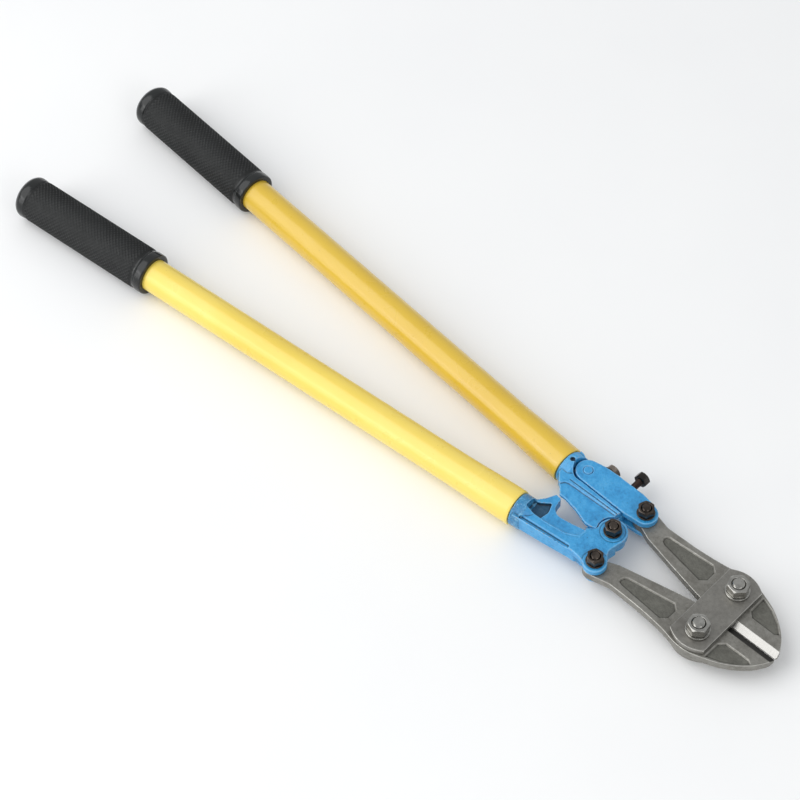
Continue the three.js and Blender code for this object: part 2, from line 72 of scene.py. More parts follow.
def on_handle(side):
    """The matrix that takes a shape drawn about +Y, from 0 at the tube's mouth, to a handle."""
    turn = Matrix.Rotation(math.pi / 2 - side * HANDLE_SPLAY, 4, "Z")
    start = PIVOT + Vector((HANDLE_START.x, side * HANDLE_START.y, 0))
    return Matrix.Translation(start) @ turn


# ---- Camera, light and floor ----
CAMERA_FROM_PIVOT = Vector((0.5754, -0.8101, 1.4739))
CAMERA_ELEVATION = math.radians(53.44)
CAMERA_AZIMUTH = math.radians(43.10)
LENS_MM = 126.6


def add_camera():
    data = bpy.data.cameras.new("camera")
    data.lens = LENS_MM
    data.sensor_width = 36
    data.clip_end = 20
    camera = bpy.data.objects.new("camera", data)
    bpy.context.scene.collection.objects.link(camera)
    camera.location = PIVOT + CAMERA_FROM_PIVOT
    camera.rotation_euler = (math.pi / 2 - CAMERA_ELEVATION, 0, CAMERA_AZIMUTH)
    bpy.context.scene.camera = camera


# Name, direction from the head, distance, size and power.
SOFTBOXES = [
    ("key_softbox", (-0.42, -0.50, 0.76), 2.2, 2.3, 30),
    ("front_softbox", (-0.45, -0.95, 0.28), 2.0, 1.0, 7),
    ("right_softbox", (0.9, -0.25, 0.7), 2.4, 1.0, 7),
]
LIGHT_TARGET = PIVOT + Vector((-0.15, 0, 0))
SKY_COLOUR = (0.96, 0.98, 1.0, 1)
SKY_STRENGTH = 0.62
FLOOR_EDGE = 4.0


def add_softbox(name, towards, distance, size, watts):
    """A square area light that faces the head."""
    data = bpy.data.lights.new(name, "AREA")
    data.size = size
    data.energy = watts
    light = bpy.data.objects.new(name, data)
    bpy.context.scene.collection.objects.link(light)
    direction = Vector(towards).normalized()
    light.location = LIGHT_TARGET + direction * distance
    light.rotation_euler = direction.to_track_quat("Z", "Y").to_euler()


def add_light():
    world = bpy.data.worlds.new("studio")
    bpy.context.scene.world = world
    world.use_nodes = True
    sky = world.node_tree.nodes["Background"]
    sky.inputs["Color"].default_value = SKY_COLOUR
    sky.inputs["Strength"].default_value = SKY_STRENGTH
    for softbox in SOFTBOXES:
        add_softbox(*softbox)
    bpy.context.scene.view_settings.view_transform = "Standard"


def add_floor():
    mesh = bpy.data.meshes.new("floor")
    corners = [(x * FLOOR_EDGE, y * FLOOR_EDGE, 0) for x, y in ((-1, -1), (1, -1), (1, 1), (-1, 1))]
    mesh.from_pydata(corners, [], [(0, 1, 2, 3)])
    floor = bpy.data.objects.new("floor", mesh)
    bpy.context.scene.collection.objects.link(floor)
    nodes = Nodes("floor_card")
    tone = nodes.ramp(nodes.noise(6, 3), [(0.3, (0.90, 0.90, 0.90)), (0.7, (0.92, 0.92, 0.915))])
    nodes.shader(Base_Color=tone, Roughness=0.75)
    mesh.materials.append(nodes.material)


# ---- Materials ----

class Nodes:
    """A material under construction. Textures are in object space, with scales per metre."""

    def __init__(self, name):
        self.material = bpy.data.materials.new(name)
        self.material.use_nodes = True
        self.tree = self.material.node_tree
        self.principled = self.tree.nodes["Principled BSDF"]
        self.place = self.tree.nodes.new("ShaderNodeTexCoord").outputs["Object"]

    def new(self, kind, **settings):
        node = self.tree.nodes.new(kind)
        for key, value in settings.items():
            setattr(node, key, value)
        return node

    def link(self, source, target):
        self.tree.links.new(source, target)

    def stretched(self, factors):
        """The place, scaled by a factor along each axis."""
        node = self.new("ShaderNodeMapping")
        node.inputs["Scale"].default_value = factors
        self.link(self.place, node.inputs["Vector"])
        return node.outputs["Vector"]

    def noise(self, scale, detail=2.0, roughness=0.5, place=None):
        node = self.new("ShaderNodeTexNoise")
        node.inputs["Scale"].default_value = scale
        node.inputs["Detail"].default_value = detail
        node.inputs["Roughness"].default_value = roughness
        self.link(place or self.place, node.inputs["Vector"])
        return node.outputs["Fac"]

    def attribute(self, name):
        return self.new("ShaderNodeAttribute", attribute_name=name).outputs["Fac"]

    def ramp(self, value, stops):
        """A colour or grey ramp. Stops are (position, number or colour)."""
        node = self.new("ShaderNodeValToRGB")
        elements = node.color_ramp.elements
        while len(elements) < len(stops):
            elements.new(0.5)
        for element, (position, tone) in zip(elements, stops):
            element.position = position
            colour = (tone, tone, tone) if isinstance(tone, (int, float)) else tone
            element.color = (*colour, 1)
        self.link(value, node.inputs["Fac"])
        return node.outputs["Color"]

    def mix(self, factor, a, b, blend="MIX"):
        """Colours a and b mixed. Each may be a socket or a colour."""
        node = self.new("ShaderNodeMix", data_type="RGBA", blend_type=blend)
        for value, socket in ((factor, node.inputs[0]), (a, node.inputs[6]), (b, node.inputs[7])):
            if isinstance(value, bpy.types.NodeSocket):
                self.link(value, socket)
            elif isinstance(value, (int, float)):
                socket.default_value = value
            else:
                socket.default_value = (*value, 1)
        return node.outputs[2]

    def math(self, operation, a, b=0.0):
        node = self.new("ShaderNodeMath", operation=operation)
        for value, socket in ((a, node.inputs[0]), (b, node.inputs[1])):
            if isinstance(value, bpy.types.NodeSocket):
                self.link(value, socket)
            else:
                socket.default_value = value
        return node.outputs[0]

    def bump(self, heights):
        """Bumps from (socket, height in metres) pairs, one on top of the other."""
        normal = None
        for height, depth in heights:
            node = self.new("ShaderNodeBump")
            node.inputs["Strength"].default_value = 1
            node.inputs["Distance"].default_value = depth
            self.link(height, node.inputs["Height"])
            if normal:
                self.link(normal, node.inputs["Normal"])
            normal = node.outputs["Normal"]
        self.link(normal, self.principled.inputs["Normal"])

    def shader(self, **values):
        """Sets sockets of the shader: a socket is linked, and a number or colour is set."""
        for key, value in values.items():
            socket = self.principled.inputs[key.replace("_", " ")]
            if isinstance(value, bpy.types.NodeSocket):
                self.link(value, socket)
            elif isinstance(value, tuple):
                socket.default_value = (*value, 1)
            else:
                socket.default_value = value


BLUE = (0.032, 0.308, 0.635)
# The two tubes carry one enamel: the lower tube's lighter, paler yellow is painted light, the upper
# tube's darker yellow painted shade.
YELLOW = {"lower": (0.86, 0.65, 0.106), "upper": (0.71, 0.472, 0.043)}
BARE = (0.30, 0.29, 0.28)


def cast_paint(name, tone_scale=1.0, roughness=(0.30, 0.50), skin=0.00050, painted_glint=0.0):
    """Blue enamel over sand-cast iron: soft sheen, pores, worn convex edges lightened by a painted
    highlight, and painted shade in hollows.

    The last argument sets how strongly pale flecks of painted glint show: highlights painted on the
    glossy enamel."""
    nodes = Nodes(name)
    curve = nodes.attribute("curve")
    base = tuple(channel * tone_scale for channel in BLUE)
    mottle = nodes.mix(0.45, nodes.noise(85, 5, 0.65), nodes.noise(520, 4, 0.7))
    tone = nodes.ramp(mottle, [
        (0.36, (base[0] * 0.45, base[1] * 0.66, base[2] * 0.74)),
        (0.5, base),
        (0.64, (base[0] * 2.3, base[1] * 1.24, base[2] * 1.10)),
    ])
    # Painted shade: the enamel is darkened in hollows and creases, where the curve attribute is low.
    sunk = nodes.ramp(curve, [(0.18, 0.26), (0.47, 1.0)])
    tone = nodes.mix(1.0, tone, sunk, "MULTIPLY")
    # Painted highlight: convex edges are lightened towards a paler blue.
    edge = nodes.ramp(curve, [(0.58, 0.0), (0.90, 0.55)])
    tone = nodes.mix(edge, tone, (0.20, 0.52, 0.82))
    # Painted glints: pale flecks of highlight on the glossy enamel.
    if painted_glint:
        painted_glint_fleck = nodes.ramp(nodes.noise(190, 4, 0.6), [(0.52, 0.0), (0.64, painted_glint)])
        tone = nodes.mix(painted_glint_fleck, tone, (0.22, 0.58, 0.86))
    pore = nodes.ramp(nodes.noise(950, 2), [(0.70, 0.0), (0.745, 0.85)])
    tone = nodes.mix(pore, tone, (0.012, 0.06, 0.14))
    worn = nodes.math("MULTIPLY", nodes.ramp(curve, [(0.67, 0.0), (0.92, 1.0)]), nodes.noise(800, 3))
    chip = nodes.ramp(worn, [(0.57, 0.0), (0.61, 1.0)])
    tone = nodes.mix(chip, tone, BARE)
    low, high = roughness
    rough = nodes.ramp(nodes.noise(380, 3), [(0.3, low), (0.7, high)])
    nodes.shader(Base_Color=tone, Roughness=rough, Coat_Weight=0.3, Coat_Roughness=0.2)
    nodes.bump([(nodes.noise(1400, 4, 0.6), skin / 2), (nodes.noise(260, 2), skin)])
    return nodes.material


def tube_enamel(name, colour):
    """Gloss enamel on drawn tube: faint orange peel, handling marks and a few specks."""
    nodes = Nodes(name)
    dull = (colour[0] * 0.95, colour[1] * 0.92, colour[2] * 0.80)
    bright = (min(colour[0] * 1.03, 1), colour[1] * 1.05, colour[2] * 1.35)
    tone = nodes.ramp(nodes.noise(14, 5), [(0.3, dull), (0.5, colour), (0.75, bright)])
    along = nodes.stretched((18, 260, 260))
    rub = nodes.ramp(nodes.noise(1, 5, 0.6, along), [(0.66, 0.0), (0.74, 0.30)])
    tone = nodes.mix(rub, tone, (colour[0] * 0.88, colour[1] * 0.82, colour[2] * 0.9))
    speck = nodes.ramp(nodes.noise(700, 1), [(0.78, 0.0), (0.80, 0.6)])
    tone = nodes.mix(speck, tone, (0.40, 0.25, 0.05))
    rough = nodes.ramp(nodes.noise(60, 4), [(0.3, 0.24), (0.7, 0.38)])
    nodes.shader(Base_Color=tone, Roughness=rough, Coat_Weight=0.4, Coat_Roughness=0.12)
    nodes.bump([(nodes.noise(190, 1), 0.00010), (nodes.noise(900, 2), 0.00002)])
    return nodes.material


def moulded_grip(name, gloss):
    """Black moulded vinyl, greyed where it is handled: glossy, or dull with a knurl whose peaks are
    greyed by wear and painted highlight and whose valleys are darkened as painted shade.
    """
    nodes = Nodes(name)
    tone = nodes.ramp(nodes.noise(45, 5), [(0.3, (0.011, 0.012, 0.012)), (0.7, (0.019, 0.0205, 0.0205))])
    dust = nodes.ramp(nodes.noise(1500, 3), [(0.6, 0.0), (0.8, 0.35)])
    tone = nodes.mix(dust, tone, (0.042, 0.045, 0.045))
    if not gloss:
        curve = nodes.attribute("curve")
        # Painted shade in the knurl's valleys.
        painted_valley_shade = nodes.ramp(curve, [(0.4, 0.28), (0.62, 1.0)])
        tone = nodes.mix(1.0, tone, painted_valley_shade, "MULTIPLY")
        # The knurl's peaks greyed: handling wear and dust, and partly a painted highlight.
        rub = nodes.ramp(curve, [(0.6, 0.0), (0.95, 0.8)])
        tone = nodes.mix(rub, tone, (0.082, 0.087, 0.086))
    low, high = (0.09, 0.18) if gloss else (0.42, 0.58)
    rough = nodes.ramp(nodes.noise(300, 3), [(0.3, low), (0.7, high)])
    nodes.shader(Base_Color=tone, Roughness=rough, Specular_IOR_Level=0.36)
    nodes.bump([(nodes.noise(2200, 2), 0.00003 if gloss else 0.00007)])
    return nodes.material


STEEL_GRAIN = 0.03 * MM


def steel(name, dark, light, roughness, metallic):
    """Plain steel with a faintly mottled, oiled skin."""
    nodes = Nodes(name)
    tone = nodes.ramp(nodes.noise(160, 5, 0.6), [(0.3, dark), (0.72, light)])
    speck = nodes.ramp(nodes.noise(1600, 3), [(0.62, 0.0), (0.72, 0.5)])
    tone = nodes.mix(speck, tone, tuple(channel * 0.45 for channel in dark))
    low, high = roughness
    rough = nodes.ramp(nodes.noise(500, 4), [(0.3, low), (0.7, high)])
    nodes.shader(Base_Color=tone, Metallic=metallic, Roughness=rough)
    nodes.bump([(nodes.noise(1500, 4, 0.65), STEEL_GRAIN), (nodes.noise(330, 2), STEEL_GRAIN * 3)])
    return nodes.material


def forging(name, dark, light, rim, roughness=(0.34, 0.52), grain=0.00008):
    """Phosphated forging: mottled grey-brown, rubbed bright on its rims, with painted shade darkening
    its hollows.
    """
    nodes = Nodes(name)
    curve = nodes.attribute("curve")
    mottle = nodes.mix(0.5, nodes.noise(60, 4, 0.6), nodes.noise(420, 4, 0.7))
    tone = nodes.ramp(mottle, [(0.36, dark), (0.62, light)])
    stain = nodes.ramp(nodes.noise(38, 3, 0.55), [(0.56, 0.0), (0.70, 0.45)])
    tone = nodes.mix(stain, tone, (dark[0] * 0.62, dark[1] * 0.60, dark[2] * 0.56))
    # Painted shade: the steel is darkened in hollows and at junctions, where the curve attribute is low.
    sunk = nodes.ramp(curve, [(0.25, 0.18), (0.45, 1.0)])
    tone = nodes.mix(1.0, tone, sunk, "MULTIPLY")
    rub = nodes.math("MULTIPLY", nodes.ramp(curve, [(0.58, 0.0), (0.85, 1.0)]),
                     nodes.ramp(nodes.noise(300, 3), [(0.25, 0.35), (0.6, 1.0)]))
    tone = nodes.mix(rub, tone, rim)
    speck = nodes.ramp(nodes.noise(1300, 2), [(0.66, 0.0), (0.72, 0.6)])
    tone = nodes.mix(speck, tone, tuple(channel * 0.4 for channel in dark))
    low, high = roughness
    rough = nodes.ramp(nodes.noise(350, 4), [(0.3, low), (0.7, high)])
    nodes.shader(Base_Color=tone, Metallic=0.75, Roughness=rough)
    nodes.bump([(nodes.noise(1200, 4, 0.65), grain), (nodes.noise(280, 3), grain * 3)])
    return nodes.material


def ground_steel(name, dark, light):
    """Ground steel: fine parallel marks across the bevel, faintly stained."""
    nodes = Nodes(name)
    marks = nodes.noise(1, 4, 0.6, nodes.stretched((5200, 240, 240)))
    tone = nodes.ramp(marks, [(0.3, dark), (0.7, light)])
    stain = nodes.ramp(nodes.noise(240, 4), [(0.58, 0.0), (0.75, 0.35)])
    tone = nodes.mix(stain, tone, tuple(channel * 0.6 for channel in dark))
    rough = nodes.ramp(marks, [(0.2, 0.26), (0.8, 0.42)])
    nodes.shader(Base_Color=tone, Metallic=0.85, Roughness=rough)
    nodes.bump([(marks, 0.00002)])
    return nodes.material


# ---- Mesh tools ----

def new_piece(name, mesh, materials, body, slot, *replaced):
    """A piece of the object that rides on a body and stands for CAD nodes."""
    piece = bpy.data.objects.new(name, mesh)
    bpy.context.scene.collection.objects.link(piece)
    for material in materials:
        mesh.materials.append(material)
    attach(piece, body)
    if replaced:
        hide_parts(*replaced)
    return piece


def cad_copy(name, node):
    """A welded copy of a CAD node's mesh, without materials, as a loose object."""
    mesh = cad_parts[node].data.copy()
    mesh.name = name
    mesh.materials.clear()
    work = bmesh.new()
    work.from_mesh(mesh)
    bmesh.ops.remove_doubles(work, verts=work.verts, dist=0.002 * MM)
    work.to_mesh(mesh)
    work.free()
    draft = bpy.data.objects.new(f"{name}_draft", mesh)
    bpy.context.scene.collection.objects.link(draft)
    return draft


def settled(draft, name):
    """The draft's mesh with its modifiers applied. The draft is removed."""
    bpy.context.view_layer.update()
    graph = bpy.context.evaluated_depsgraph_get()
    mesh = bpy.data.meshes.new_from_object(draft.evaluated_get(graph))
    mesh.name = name
    bpy.data.objects.remove(draft)
    return mesh


def points_of(mesh):
    points = np.empty(len(mesh.vertices) * 3)
    mesh.vertices.foreach_get("co", points)
    return points.reshape(-1, 3)


def normals_of(mesh):
    normals = np.empty(len(mesh.vertices) * 3)
    mesh.vertex_normals.foreach_get("vector", normals)
    return normals.reshape(-1, 3)


def mark_curvature(mesh, full):
    """Writes the attribute "curve": 0.5 where flat, 1 on convex edges and 0 in sharp hollows."""
    points, normals = points_of(mesh), normals_of(mesh)
    edges = np.empty(len(mesh.edges) * 2, dtype=np.int64)
    mesh.edges.foreach_get("vertices", edges)
    a, b = edges.reshape(-1, 2).T
    step = points[b] - points[a]
    bend = ((normals[b] - normals[a]) * step).sum(1) / np.maximum((step * step).sum(1), 1e-12)
    total = np.bincount(a, bend, len(points)) + np.bincount(b, bend, len(points))
    count = np.bincount(a, minlength=len(points)) + np.bincount(b, minlength=len(points))
    curve = np.clip(0.5 + 0.5 * total / np.maximum(count, 1) / full, 0, 1)
    attribute = mesh.attributes.new("curve", "FLOAT", "POINT")
    attribute.data.foreach_set("value", curve.astype(np.float32))


def roughen(mesh, layers):
    """Moves each point along its normal by noise. Layers are (wavelength, height) in metres."""
    points, normals = points_of(mesh), normals_of(mesh)
    shift = np.zeros(len(points))
    for wavelength, height in layers:
        for i, point in enumerate(points):
            shift[i] += height * noise.noise(Vector(point) / wavelength)
    mesh.vertices.foreach_set("co", (points + normals * shift[:, None]).ravel())
    mesh.update()


def smooth_shaded(mesh, angle=None):
    mesh.polygons.foreach_set("use_smooth", [True] * len(mesh.polygons))
    if angle is not None:
        mesh.set_sharp_from_angle(angle=math.radians(angle))
    mesh.update()


# ---- Skins: a CAD shape with softened edges and the texture of its process ----
SPIGOT_SHOWN = 3 * MM


def cut_spigot(draft, side):
    """Takes off the length of the spigot that is out of sight inside the tube."""
    place = on_handle(side)
    work = bmesh.new()
    work.from_mesh(draft.data)
    bmesh.ops.bisect_plane(
        work,
        geom=work.verts[:] + work.edges[:] + work.faces[:],
        plane_co=place @ Vector((0, SPIGOT_SHOWN, 0)),
        plane_no=place.to_3x3() @ Vector((0, 1, 0)),
        clear_outer=True,
    )
    rim = [edge for edge in work.edges if edge.is_boundary]
    bmesh.ops.holes_fill(work, edges=rim)
    work.to_mesh(draft.data)
    work.free()


def skinned(draft, name, voxel, smoothing):
    """The draft's mesh remeshed in even voxels, with its edges softened."""
    remesh = draft.modifiers.new("skin", "REMESH")
    remesh.mode = "VOXEL"
    remesh.voxel_size = voxel
    soften = draft.modifiers.new("soften", "SMOOTH")
    soften.factor = 0.5
    soften.iterations = smoothing
    return settled(draft, name)


# ---- Cast levers and link ----
CAST_VOXEL = 0.36 * MM
CAST_SMOOTHING = 4
CAST_EDGE = 780
SAND_SKIN = [(9 * MM, 0.11 * MM), (2.4 * MM, 0.075 * MM), (0.9 * MM, 0.045 * MM)]
LEVER_TOP = 7.8 * MM
SPOT_FACE_RADIUS = 8.1 * MM
SPOT_FACE_DEPTH = 0.28 * MM
SPOT_FACE_WIDTH = 0.4 * MM
LINE_WIDTH = 0.42 * MM
# The die lines in the levers' upper faces, in millimetres from the centre bolt: the path, the lowest
# height that it touches, and its depth. A negative depth is a bead.
UPPER_LINES = [
    ([(-45.5, 11.9), (-1, 12.2)], 3, 0.30),
    ([(-45.5, 10.9), (-1, 11.2)], 3, -0.22),
]
LOWER_LINES = [
    ([(-49, -30.2), (-14, -26.6)], 5, 0.40),
    ([(-49, -32.7), (-14, -29.1)], 3, -0.32),
    ([(-38.5, -22.5), (-33, -22), (-22, -20.3), (-14.4, -16.2), (-14, -12)], 3.5, 0.45),
    ([(-38.5, -23.9), (-33, -23.4), (-21.2, -21.7), (-12.8, -17.1), (-12.4, -12)], 6.5, -0.25),
]


def cut_spot_faces(mesh, centres):
    """A shallow ring round each bolt, where the casting's top face was machined for its washer."""
    points = points_of(mesh)
    on_top = points[:, 2] > MID_Z + LEVER_TOP - 0.4 * MM
    for centre in centres:
        away = np.hypot(points[:, 0] - centre.x, points[:, 1] - centre.y) - SPOT_FACE_RADIUS
        points[:, 2] -= on_top * SPOT_FACE_DEPTH * np.exp(-(away / SPOT_FACE_WIDTH) ** 2)
    mesh.vertices.foreach_set("co", points.ravel())
    mesh.update()


def cut_line(mesh, path, low, depth):
    """A rounded groove or bead along a path, in upward faces above a height. See UPPER_LINES."""
    points = points_of(mesh)
    flat = points[:, :2] - np.array(PIVOT)[:2]
    away = np.full(len(points), np.inf)
    corners = np.array(path) * MM
    for start, end in zip(corners, corners[1:]):
        run = end - start
        along = np.clip((flat - start) @ run / (run @ run), 0, 1)
        away = np.minimum(away, np.linalg.norm(flat - start - along[:, None] * run, axis=1))
    upward = np.clip((normals_of(mesh)[:, 2] - 0.5) * 4, 0, 1)
    above = points[:, 2] > MID_Z + low * MM
    points[:, 2] -= above * upward * depth * MM * np.exp(-(away / LINE_WIDTH) ** 2)
    mesh.vertices.foreach_set("co", points.ravel())
    mesh.update()


def cast_piece(name, node, body, paints, spigot_side=None, spot_faces=(), lines=()):
    draft = cad_copy(name, node)
    if spigot_side is not None:
        cut_spigot(draft, spigot_side)
    mesh = skinned(draft, name, CAST_VOXEL, CAST_SMOOTHING)
    cut_spot_faces(mesh, spot_faces)
    for line in lines:
        cut_line(mesh, *line)
    mark_curvature(mesh, CAST_EDGE)
    roughen(mesh, SAND_SKIN)
    smooth_shaded(mesh)
    return new_piece(name, mesh, paints, body, "blue_paint", node)


# The box round the pocket in the lower lever's stop arm, from the centre bolt, and its walls' top.
ARM_POCKET_LOW = (-53 * MM, -23 * MM)
ARM_POCKET_HIGH = (-39.5 * MM, -8 * MM)
ARM_POCKET_RIM = 4.4 * MM
COLLAR_LENGTH = 9 * MM


def paint_zones(lower_lever):
    """Gives the lower lever's collar its glossier enamel with painted glints, and its arm's pocket the
    darker enamel that paints shade into it.
    """
    into_handle = on_handle(-1).inverted()
    for face in lower_lever.data.polygons:
        x, y, z = face.center - PIVOT
        pocket = (ARM_POCKET_LOW[0] < x < ARM_POCKET_HIGH[0]
                  and ARM_POCKET_LOW[1] < y < ARM_POCKET_HIGH[1])
        if (into_handle @ face.center).y > -COLLAR_LENGTH:
            face.material_index = 2
        elif pocket and 0 < z < ARM_POCKET_RIM:
            face.material_index = 1


def build_levers():
    paints = [
        cast_paint("blue_cast_enamel"),
        # The pocket's enamel: the blue darkened to 0.24 as painted shade in the pocket, rougher, with a
        # coarser skin.
        cast_paint("blue_pocket_enamel", 0.24, (0.40, 0.62), 0.0012),
        # The lower collar's enamel: glossier, its blue scaled to 0.72, with painted glints.
        cast_paint("blue_collar_enamel", 0.72, (0.10, 0.26), 0.0011, 0.6),
    ]
    lower = cast_piece("cast_lower_lever", "lower_lever", "lower_handle", paints, -1,
                       [middle("centre_bolt"), middle("lower_tail_bolt")], LOWER_LINES)
    paint_zones(lower)
    cast_piece("cast_upper_lever", "upper_lever", "upper_handle", paints, 1, lines=UPPER_LINES)
    cast_piece("cast_adjusting_link", "adjusting_link", "link", paints)
    cast_piece("painted_link_pin", "link_pin", "link", paints)


# ---- Forged jaws and straps ----
FORGED_VOXEL = 0.30 * MM
FORGED_EDGE = 2000
FORGED_SKIN = [(7 * MM, 0.05 * MM), (1.8 * MM, 0.025 * MM)]
STRAP_SKIN = [(9 * MM, 0.03 * MM)]
POCKET_DEPTH = 1.2 * MM
BEVEL_START = 87 * MM
BEVEL_WIDTH = 4.9 * MM
EDGE_LAND = 0.25 * MM
EDGE_GAP = 0.17 * MM


def grind_bevels(mesh):
    """Puts the points near the two cutting bevels exactly on them."""
    slope = (JAW_HALF - EDGE_LAND) / (BEVEL_WIDTH - EDGE_GAP)
    points = points_of(mesh)
    x, side, height = (points - np.array(PIVOT)).T
    across = np.abs(side)
    at_rim = (x > BEVEL_START) & (np.abs(across - BEVEL_WIDTH) < FORGED_VOXEL / 2)
    across[at_rim] = BEVEL_WIDTH
    plane = EDGE_LAND + slope * np.maximum(across - EDGE_GAP, 0)
    near = np.abs(np.abs(height) - plane) < 2 * FORGED_VOXEL
    on_bevel = (x > BEVEL_START) & (across <= BEVEL_WIDTH) & near & (np.abs(height) > EDGE_LAND)
    height[on_bevel] = (np.sign(height) * plane)[on_bevel]
    side[:] = np.sign(side) * across
    moved = np.stack([x, side, height], 1) + np.array(PIVOT)
    mesh.vertices.foreach_set("co", moved.ravel())
    mesh.update()
    return on_bevel


def build_jaw(side, materials):
    name = f"forged_{side}_jaw"
    mesh = skinned(cad_copy(name, f"{side}_jaw"), name, FORGED_VOXEL, 3)
    mark_curvature(mesh, FORGED_EDGE)
    roughen(mesh, FORGED_SKIN)
    on_bevel = grind_bevels(mesh)
    smooth_shaded(mesh)
    pocket_floor = JAW_HALF - 0.75 * POCKET_DEPTH
    for face in mesh.polygons:
        _, y, z = face.center - PIVOT
        if all(on_bevel[vertex] for vertex in face.vertices):
            face.material_index = 2
        elif abs(z) < pocket_floor and abs(face.normal.z) > 0.6 and abs(y) > BEVEL_WIDTH:
            face.material_index = 1
    new_piece(name, mesh, materials, f"{side}_jaw", "forged_steel", f"{side}_jaw")


def build_jaws():
    face = forging("forged_face", (0.195, 0.187, 0.166), (0.305, 0.296, 0.270), (0.60, 0.59, 0.55))
    pocket = forging("forged_pocket", (0.135, 0.133, 0.117), (0.200, 0.197, 0.173), (0.36, 0.35, 0.32),
                     (0.55, 0.75), 0.00016)
    bright = ground_steel("ground_bevel", (0.37, 0.362, 0.342), (0.54, 0.53, 0.505))
    # The lower jaw's bevel: the same ground steel, darkened nearly to black as painted shade.
    dark = ground_steel("painted_shade_bevel", (0.030, 0.029, 0.027), (0.058, 0.056, 0.052))
    build_jaw("upper", [face, pocket, bright])
    build_jaw("lower", [face, pocket, dark])
    plate = forging("strap_face", (0.205, 0.197, 0.180), (0.285, 0.276, 0.252), (0.60, 0.59, 0.55),
                    (0.30, 0.46), 0.00005)
    for side in ("top", "bottom"):
        name = f"forged_{side}_strap"
        mesh = skinned(cad_copy(name, f"{side}_strap"), name, FORGED_VOXEL, 2)
        mark_curvature(mesh, FORGED_EDGE)
        roughen(mesh, STRAP_SKIN)
        smooth_shaded(mesh)
        new_piece(name, mesh, [plate], "straps", "forged_steel", f"{side}_strap")


# ---- Turned shapes ----

def lathe_mesh(name, profile, steps, place=Matrix(), warp=None, knurled=()):
    """A closed mesh turned about +Z from (radius, height) pairs in metres, facing out.

    warp(ring, angle, radius, height), if given, returns a new radius and height. Between rings in
    knurled, faces are split along the low diagonals of a chequered pattern of peaks."""
    work = bmesh.new()
    rings = []
    for ring, (radius, height) in enumerate(profile):
        verts = []
        for step in range(steps if radius > 1e-7 else 1):
            angle = TAU * step / steps
            r, h = warp(ring, angle, radius, height) if warp and radius > 1e-7 else (radius, height)
            verts.append(work.verts.new(place @ Vector((r * math.cos(angle), r * math.sin(angle), h))))
        rings.append(verts)
    for ring, inner in enumerate(rings):
        outer = rings[(ring + 1) % len(rings)]
        split = ring in knurled and ring + 1 in knurled
        for step in range(steps):
            after = (step + 1) % steps
            a, b = inner[step % len(inner)], inner[after % len(inner)]
            c, d = outer[after % len(outer)], outer[step % len(outer)]
            if split and (ring + step) % 2:
                work.faces.new((a, b, d))
                work.faces.new((b, c, d))
            elif split:
                work.faces.new((a, b, c))
                work.faces.new((a, c, d))
            elif len({a, b, c, d}) > 2:
                work.faces.new(tuple(dict.fromkeys((a, b, c, d))))
    bmesh.ops.recalc_face_normals(work, faces=work.faces)
    mesh = bpy.data.meshes.new(name)
    work.to_mesh(mesh)
    work.free()
    return mesh


CORNER_STEPS = 4


def rounded(profile, radius, closed=True):
    """The (radius, height) profile with its corners rounded, save open ends and points on the axis."""
    result = []
    last = len(profile) - 1
    for i, corner in enumerate(profile):
        here = Vector(corner)
        if corner[0] < 1e-7 or (not closed and i in (0, last)):
            result.append(here)
            continue
        before = Vector(profile[i - 1]) - here
        after = Vector(profile[(i + 1) % len(profile)]) - here
        cut = min(radius, before.length * 0.45, after.length * 0.45)
        start, end = here + before.normalized() * cut, here + after.normalized() * cut
        for k in range(CORNER_STEPS + 1):
            t = k / CORNER_STEPS
            result.append(start * (1 - t) ** 2 + here * 2 * t * (1 - t) + end * t * t)
    return [tuple(point) for point in result]


# ---- Handle tubes and grips ----
TUBE_RADIUS = 11.5 * MM
TUBE_FLARE_RADIUS = 12.3 * MM
TUBE_WALL = 1.6 * MM
TUBE_LENGTH = 410 * MM
TUBE_STEPS = 96
FLARE_LENGTH = 50 * MM
GRIP_START = 306.5 * MM
GRIP_LENGTH = 115.6 * MM
GRIP_END_RADIUS = 15.2 * MM
KNURLS_ROUND = 32
KNURL_BASE = 14.15 * MM
KNURL_HEIGHT = 0.85 * MM
KNURL_CURVE = 900
MOUTH_LEAD = {"lower": 0.5 * MM, "upper": 1.8 * MM}
ALONG_Y = Matrix.Rotation(-math.pi / 2, 4, "X")


def tube_radius(along):
    """The outside radius: a flare that eases into the plain tube."""
    t = min(max((along - 4 * MM) / (FLARE_LENGTH - 4 * MM), 0), 1)
    return TUBE_FLARE_RADIUS + (TUBE_RADIUS - TUBE_FLARE_RADIUS) * (3 * t * t - 2 * t ** 3)


def build_tube(side_name, side, material):
    """The tube, with a rolled mouth, rings close together in the flare and far apart behind it."""
    mouth = -MOUTH_LEAD[side_name]
    wide = tube_radius(0)
    stations = [mouth + 0.9 * MM, mouth + 2 * MM, 4 * MM] + [k * 4 * MM for k in range(2, 14)]
    stations += [70 * MM + k * 34 * MM for k in range(10)] + [TUBE_LENGTH]
    outside = [(wide - 0.5 * MM, mouth), (wide - 0.15 * MM, mouth + 0.25 * MM)]
    outside += [(tube_radius(along), along) for along in stations]
    inside = [(radius - TUBE_WALL, along) for radius, along in reversed(outside[2:])]
    inside += [(wide - TUBE_WALL + 0.4 * MM, mouth)]
    mesh = lathe_mesh(f"{side_name}_tube", outside + inside, TUBE_STEPS, on_handle(side) @ ALONG_Y)
    smooth_shaded(mesh, 40)
    new_piece(f"enamelled_{side_name}_tube", mesh, [material], f"{side_name}_handle", "yellow_paint",
              f"{side_name}_handle_tube")


